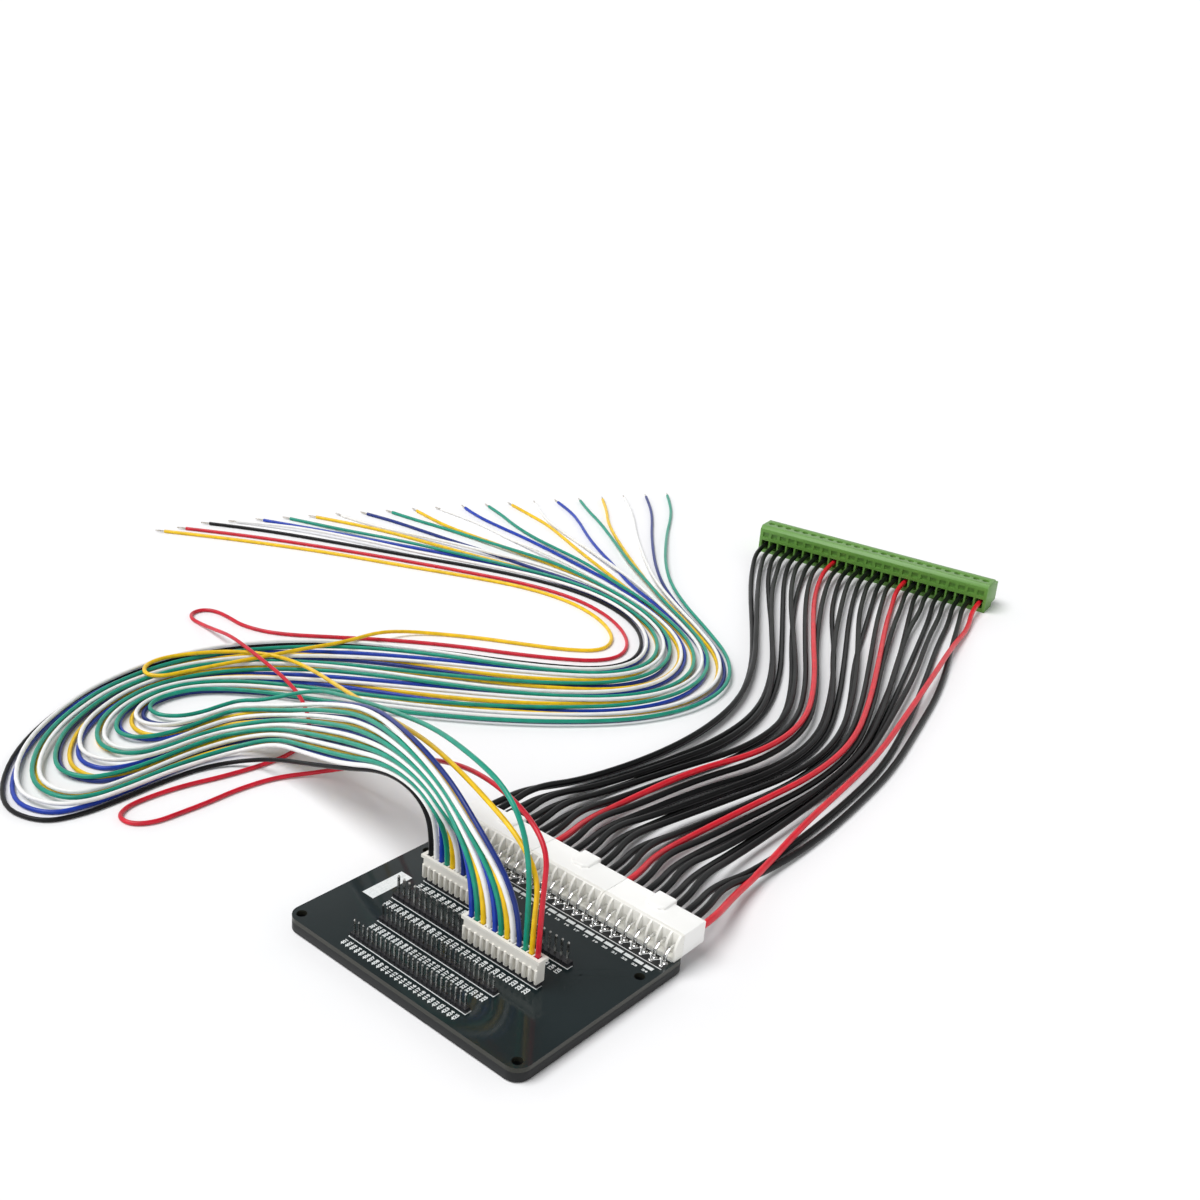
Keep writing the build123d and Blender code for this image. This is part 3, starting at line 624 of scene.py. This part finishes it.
# A printed number in plain type, one unit thick
def number_mesh(text):
    words = bpy.data.curves.new("number", "FONT")
    words.body = text
    words.align_x = "CENTER"
    words.align_y = "CENTER"
    words.extrude = 0.5
    words.offset = number_weight
    words.resolution_u = number_smoothness
    piece = bpy.data.objects.new("number", words)
    mesh = bpy.data.meshes.new_from_object(piece)
    bpy.data.objects.remove(piece)
    bpy.data.curves.remove(words)
    return mesh


# How far a mesh reaches along one axis
def extent(mesh, axis):
    places = [vertex.co[axis] for vertex in mesh.vertices]
    return max(places) - min(places)


# A number printed on the board, sized by what as many zeros would take
def add_number(shape, text, middle, length, height, turn):
    mesh = number_mesh(text)
    model = number_mesh("0" * len(text))
    thickness = ink_thickness + print_sink
    scale = (length / extent(model, 0), height / extent(model, 1), thickness)
    place = Matrix.Translation((*middle, board_top - print_sink + thickness / 2))
    mesh.transform(place @ Matrix.Rotation(turn, 4, "Z") @ Matrix.Diagonal((*scale, 1)))
    shape.from_mesh(mesh)
    bpy.data.meshes.remove(mesh)
    bpy.data.meshes.remove(model)


# A turned form on the board, from its (radius, height) steps up to a soft point
def add_turned(shape, middle, steps, lean, peak):
    rings = []
    for radius, height in steps:
        centre = Vector((*middle, board_top + height)) + lean * (height / peak)
        ring = []
        for corner in range(joint_corners):
            angle = 2 * pi * corner / joint_corners
            ring.append(shape.verts.new(centre + Vector((cos(angle), sin(angle), 0)) * radius))
        rings.append(ring)
    top = shape.verts.new(Vector((*middle, board_top + peak)) + lean)
    shape.faces.new(rings[0][::-1])
    for corner in range(joint_corners):
        after = (corner + 1) % joint_corners
        for low, high in zip(rings, rings[1:]):
            shape.faces.new((low[corner], low[after], high[after], high[corner]))
        shape.faces.new((rings[-1][corner], rings[-1][after], top))


# A solder joint: a round bead, each a little different in size and lean
def add_bead(shape, middle, chance):
    radius = joint_radius * chance.uniform(*joint_widths)
    height = joint_height * chance.uniform(*joint_heights)
    lean = Vector((chance.uniform(-1, 1), chance.uniform(-1, 1), 0)) * radius * joint_lean
    steps = [(radius, -print_sink)]
    for share in bead_steps:
        steps.append((radius * (1 - share**2) ** 0.5, height * share))
    add_turned(shape, middle, steps, lean, height)


# The fillet of solder that climbs a power pin's foot
def add_fillet(shape, middle, chance):
    radius = foot_joint_radius * chance.uniform(*foot_joint_widths)
    height = foot_joint_height * chance.uniform(*foot_joint_heights)
    steps = [(radius, -print_sink)]
    for share in fillet_steps:
        steps.append((radius * (1 - share) ** foot_joint_sag + foot_joint_tip, height * share))
    add_turned(shape, middle, steps, Vector((0, 0, 0)), height)


def fill_brackets(shape):
    for row in "abcd":
        low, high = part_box(f"pin_strip_{row}")
        add_bracket(shape, low.x - line_gap, high.x + line_gap, low.y - line_gap)


# A plain white field for the owner's own marking, left of the strips
def fill_marking(shape):
    add_block(shape, marking_place, marking_size)


def fill_row_numbers(shape):
    for place, row in enumerate("abcd", 1):
        low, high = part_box(f"pin_strip_{row}")
        pitch = (high.x - low.x) / pins_per_strip
        for pin in range(pins_per_strip):
            middle = (low.x + pitch * (pin + 0.5), low.y - row_number_place)
            add_number(
                shape, f"{place}{pin + 1:02d}", middle, row_number_length,
                pitch * row_number_share, pi / 2,
            )


def fill_way_marks(shape):
    for x in between_ways:
        add_block(shape, (x, block_y), block_size)
    half_length = board_high.x - band_side_margin
    for y in (front_line_y, back_line_y):
        add_stroke(shape, (-half_length, y), (half_length, y), line_width)


def fill_way_numbers(shape):
    for way, x in enumerate(between_ways, 1):
        add_number(shape, f"{way:02d}", (x, way_number_y), *way_number_size, 0)


# The dark band under the beads, with a tick towards each way
def fill_band(shape):
    half_length = board_high.x - band_side_margin
    corners = [(-half_length, band_front_y)]
    for x in way_places[1:-1]:
        half = block_tick[0] / 2
        corners.extend([
            (x - half, band_front_y), (x - half, band_front_y - block_tick[1]),
            (x + half, band_front_y - block_tick[1]), (x + half, band_front_y),
        ])
    corners.extend([
        (half_length, band_front_y), (half_length, band_back_y), (-half_length, band_back_y),
    ])
    add_film(shape, corners, mask_thickness)


# Slanting marks between the two rows of beads
def fill_slants(shape):
    for x in between_ways:
        for side in (-1, 1):
            back = Vector((x, back_joint_y))
            front = Vector((x + side * power_pitch / 2, front_joint_y))
            step = (front - back).normalized() * stroke_clearance
            add_stroke(shape, back + step, front - step, stroke_width)


def fill_beads(shape):
    chance = random.Random(11)
    for x in way_places:
        add_bead(shape, (x, front_joint_y), chance)
    for x in between_ways:
        add_bead(shape, (x, back_joint_y), chance)
    foot_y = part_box("power_pins_left")[0].y + power_pin_half
    for x in way_places:
        add_fillet(shape, (x, foot_y), chance)
    for face in shape.faces:
        face.smooth = True


# Tracks under the mask, which raise it by a hair at the right of the strips
def fill_tracks(shape):
    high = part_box("pin_strip_a")[1]
    for shift in track_shifts:
        start = Vector((high.x + track_start[0] + shift, high.y + track_start[1] - shift))
        turn = start + Vector((track_run, track_run))
        add_stroke(shape, start, turn, track_width, mask_thickness)
    front, back = short_track_ends
    for x in short_track_places:
        add_stroke(shape, (x, front), (x, back), track_width, mask_thickness)


make_piece("row_brackets", ink_finish, fill_brackets)
make_piece("marking_field", ink_finish, fill_marking)
make_piece("row_numbers", ink_finish, fill_row_numbers)
make_piece("way_marks", ink_finish, fill_way_marks)
make_piece("way_numbers", ink_finish, fill_way_numbers)
make_piece("dark_band", band_finish, fill_band)
make_piece("slanting_marks", ink_finish, fill_slants)
make_piece("solder_beads", solder_finish, fill_beads)
make_piece("covered_tracks", mask_finish, fill_tracks)


# A point by the terminal plug, from its place along and behind the plug's middle
def terminal_point(along, back, height):
    x = terminal_middle[0] + along * cos(terminal_turn) - back * sin(terminal_turn)
    y = terminal_middle[1] + along * sin(terminal_turn) + back * cos(terminal_turn)
    return (x, y, height)


def between(start, end, share):
    return tuple(a + (b - a) * share for a, b in zip(start, end))


# How far a wire may sway, counted in lanes, before it meets one in its own layer
def swing(spacing, diameter):
    room = lane_room * (diameter + touch_gap)
    if spacing < loose_spacing:
        lanes = (2 * spacing - room) / (layer_sway * spacing)
    else:
        lanes = (spacing - room) / (neighbour_sway * spacing)
    return min(max(lanes, 0), largest_swing)


# One lane between two guides. Every second wire rides on top of the others'
# layer, and those well between the guides sway about their lanes. Where the
# lanes spread wide, all lie flat.
def lane(first, last, number, steps, diameter):
    middle = [between(near, far, number / steps) for near, far in zip(first, last)]
    points = []
    for station, (near, far) in enumerate(zip(first, last)):
        before = Vector(middle[max(station - 1, 0)])
        after = Vector(middle[min(station + 1, len(middle) - 1)])
        across = Vector(far) - Vector(near)
        up = across.cross((after - before).normalized())
        spacing = up.length / steps
        fade = min(station / fade_stations, (len(first) - 1 - station) / fade_stations, 1)
        sway = sin(sway_per_wire * number + sway_per_station * station)
        if number == 0 or number > steps - 2:
            sway = 0
        share = (number + fade * swing(spacing, diameter) * sway) / steps
        point = between(near, far, share)
        if point[2] < lying_height:
            up = Vector((0, 0, 1))
        if number % 2 == 1:
            layer = min(max(layer_spacing + layer_fade - spacing, 0) / layer_fade, 1)
            point = tuple(Vector(point) + up.normalized() * (diameter + touch_gap) * layer)
        points.append(point)
    return points


# The red leads lie on top of the rest, and the last red one has two black leads
# that pass under it and come out on its far side
def over_or_under(way, points):
    if way in power_reds:
        aside, lift = 0, 2 * layer_step
    else:
        aside, lift = passed_under.get(way, (0, 0))
    last = len(points) - 1
    moved = []
    for station, point in enumerate(points):
        fade = min(station, last - station, fade_stations) / fade_stations
        moved.append(tuple(Vector(point) + Vector((aside, 0, lift)) * fade))
    return moved


# The route of a thick lead, from its power plug to the terminal plug
def power_route(way):
    group = min(way // ways_between_guides, len(power_guides) - 2)
    middle = lane(
        power_guides[group], power_guides[group + 1], way - group * ways_between_guides,
        ways_between_guides, thick_wire,
    )
    along = terminal_pitch * (way - (power_ways - 1) / 2)
    start = [
        (way_places[way], power_wire_start, power_wire_height),
        (way_places[way], power_wire_start + power_exit_run, power_wire_height),
    ]
    end = [
        terminal_point(along, wire_end_back - terminal_exit_run, terminal_wire_height),
        terminal_point(along, wire_end_back, terminal_wire_height),
    ]
    return start + over_or_under(way, middle) + end


# In its arch the bundle is drawn together, and it opens out where it lands
def drawn_in(first, last):
    near, far = [], []
    for station, (one, other) in enumerate(zip(first, last)):
        width = (Vector(other) - Vector(one)).length
        fade = min(max((arch_stations - station) / fade_stations, 0), 1)
        share = min(max(width - bundle_width, 0), most_drawn_in) * fade / width / 2
        near.append(between(one, other, share))
        far.append(between(one, other, 1 - share))
    return near, far


# The green stray joins the bundle again, and the other two stay out of it
strays = {green_number: green_arch, yellow_number: yellow_route, red_number: red_route}
bundle_guides = drawn_in(signal_front_guide, signal_back_guide)


# The route of a thin lead, from its small plug to its bare end
def signal_route(number):
    if number < len(back_plug_colours):
        x, y = small_first_x + small_pitch * number, row_a_y
    else:
        way = number - len(back_plug_colours)
        x, y = small_first_x + small_pitch * (front_plug_first_pin + way), row_b_y
    guides = bundle_guides if number else (signal_front_guide, signal_back_guide)
    lanes = lane(*guides, number, bundle_steps, thin_wire)
    if number in strays:
        start = [(x, y, signal_start_z), (x, y, stray_rise_z)]
        rest = lanes[green_bundle_station:] if number == green_number else []
        return start + strays[number] + rest
    start = [(x, y, signal_start_z), (x, y, signal_rise_z + signal_rise_step * number)]
    return start + lanes


# Length of a wire along its route, with the corners rounded
def route_length(points):
    legs = [Vector(end) - Vector(start) for start, end in zip(points, points[1:])]
    total = sum(leg.length for leg in legs)
    for before, after in zip(legs, legs[1:]):
        turn = before.angle(after)
        reach = arc_share * min(before.length, after.length)
        if turn > 0:
            total -= 2 * reach - reach / tan(turn / 2) * turn
    return total


def make_wire(name, points, diameter, material, replaced):
    curve = bpy.data.curves.new(name, "CURVE")
    curve.dimensions = "3D"
    curve.bevel_depth = diameter / 2
    curve.bevel_resolution = wire_sides
    curve.resolution_u = wire_steps
    curve.use_fill_caps = True
    spline = curve.splines.new("NURBS")
    spline.points.add(len(points) - 1)
    for place, point in zip(spline.points, points):
        place.co = (*point, 1)
    spline.order_u = 3
    spline.use_endpoint_u = True
    curve.materials.append(material)
    wire = bpy.data.objects.new(name, curve)
    bpy.context.scene.collection.objects.link(wire)
    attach(wire, "root")
    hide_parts(replaced)
    return wire


# Twisted bare strands beyond the insulation, drawn to a soft point
def make_bare_end(name, points):
    end = Vector(points[-1])
    along = (end - Vector(points[-2])).normalized()
    side = along.cross(Vector((0, 0, 1))).normalized()
    above = side.cross(along)

    def fill(shape):
        for strand in range(bare_strands):
            layers = []
            for ring in range(bare_rings + 1):
                share = ring / bare_rings
                spread = 0 if strand == 0 else bare_diameter / 3 * (1 - bare_taper * share**3)
                turn = 2 * pi * (strand / (bare_strands - 1) + bare_twist * share)
                middle = end + along * (bare_end * share - bare_sink)
                middle = middle + (side * cos(turn) + above * sin(turn)) * spread
                layer = []
                for corner in range(bare_corners):
                    angle = 2 * pi * corner / bare_corners
                    offset = (side * cos(angle) + above * sin(angle)) * bare_diameter / 6
                    layer.append(shape.verts.new(middle + offset))
                layers.append(layer)
            for low, high in zip(layers, layers[1:]):
                for corner in range(bare_corners):
                    after = (corner + 1) % bare_corners
                    shape.faces.new((low[corner], low[after], high[after], high[corner]))
            shape.faces.new(layers[0][::-1])
            shape.faces.new(layers[-1])
        bmesh.ops.recalc_face_normals(shape, faces=shape.faces)

    return make_piece(name, tin_finish, fill)


signal_colours = back_plug_colours + front_plug_colours
for number, colour in enumerate(signal_colours):
    points = signal_route(number)
    name = f"signal_wire_{number + 1:02d}_{colour}"
    wire = make_wire(
        f"lead_{number + 1:02d}_{colour}", points, thin_wire, wire_finishes[colour], name,
    )
    tip = make_bare_end(f"bare_end_{number + 1:02d}", points)
    round(route_length(points), 3)

power_wires = []
for side, ways in way_groups.items():
    for way in ways:
        colour = "red" if way in power_reds else "black"
        replaced = f"red_lead_{side}" if colour == "red" else f"black_leads_{side}"
        points = power_route(way)
        wire = make_wire(
            f"power_lead_{way + 1:02d}_{colour}", points, thick_wire, thick_finishes[colour],
            replaced,
        )
        power_wires.append((route_length(points), colour == "red", wire, points))
# The power leads sorted with the red ones first and then the black ones, each from the longest to the
# shortest
power_wires.sort(key=lambda entry: (entry[1], entry[0]), reverse=True)

# Floor, light and camera
floor_size = 80
floor_finish = Finish("pale_floor", roughness=0.8, specular_ior_level=0.2)
paper = floor_finish.noise(6.0)
floor_finish.set("Base Color", floor_finish.mix(paper, (0.87, 0.87, 0.88), (0.9, 0.9, 0.91)))
bpy.ops.mesh.primitive_plane_add(size=floor_size)
floor = bpy.context.object
floor.name = "floor"
floor.data.materials.append(floor_finish.material)

# A sky that is bright round the horizon and dimmer overhead
world = bpy.data.worlds.new("studio")
world.use_nodes = True
sky = Recipe(world.node_tree)
direction = sky.node("ShaderNodeTexCoord", {}, {}, "Generated")
glow = sky.ramp(sky.part_of(direction, 2), 0.5, 0.62, 1.05, 0.12)
background = sky.nodes["Background"]
background.inputs["Color"].default_value = (1, 1, 1, 1)
sky.links.new(glow.socket, background.inputs["Strength"])
bpy.context.scene.world = world


def make_light(name, kind, place, target, power, **shape):
    data = bpy.data.lights.new(name, kind)
    data.energy = power
    for label, value in shape.items():
        setattr(data, label, value)
    light = bpy.data.objects.new(name, data)
    light.location = place
    light.rotation_mode = "QUATERNION"
    light.rotation_quaternion = (Vector(target) - Vector(place)).to_track_quat("-Z", "Y")
    bpy.context.scene.collection.objects.link(light)


subject = (-0.1, 0.1, 0)
key_place = (-0.5, -0.5, 1.5)
make_light("key", "SUN", key_place, subject, 2.65, angle=radians(40))

camera_data = bpy.data.cameras.new("camera")
camera_data.lens = camera_lens
camera_data.sensor_width = camera_sensor
camera_data.clip_start = camera_near
camera = bpy.data.objects.new("camera", camera_data)
back = Vector((
    sin(camera_azimuth) * cos(camera_pitch),
    -cos(camera_azimuth) * cos(camera_pitch),
    sin(camera_pitch),
))
level_right = Vector((cos(camera_azimuth), sin(camera_azimuth), 0))
level_up = back.cross(level_right)
right = level_right * cos(camera_roll) + level_up * sin(camera_roll)
up = level_up * cos(camera_roll) - level_right * sin(camera_roll)
camera.matrix_world = Matrix.Translation(camera_place) @ Matrix((right, up, back)).transposed().to_4x4()
bpy.context.scene.collection.objects.link(camera)
bpy.context.scene.camera = camera
bpy.context.scene.view_settings.view_transform = "Standard"
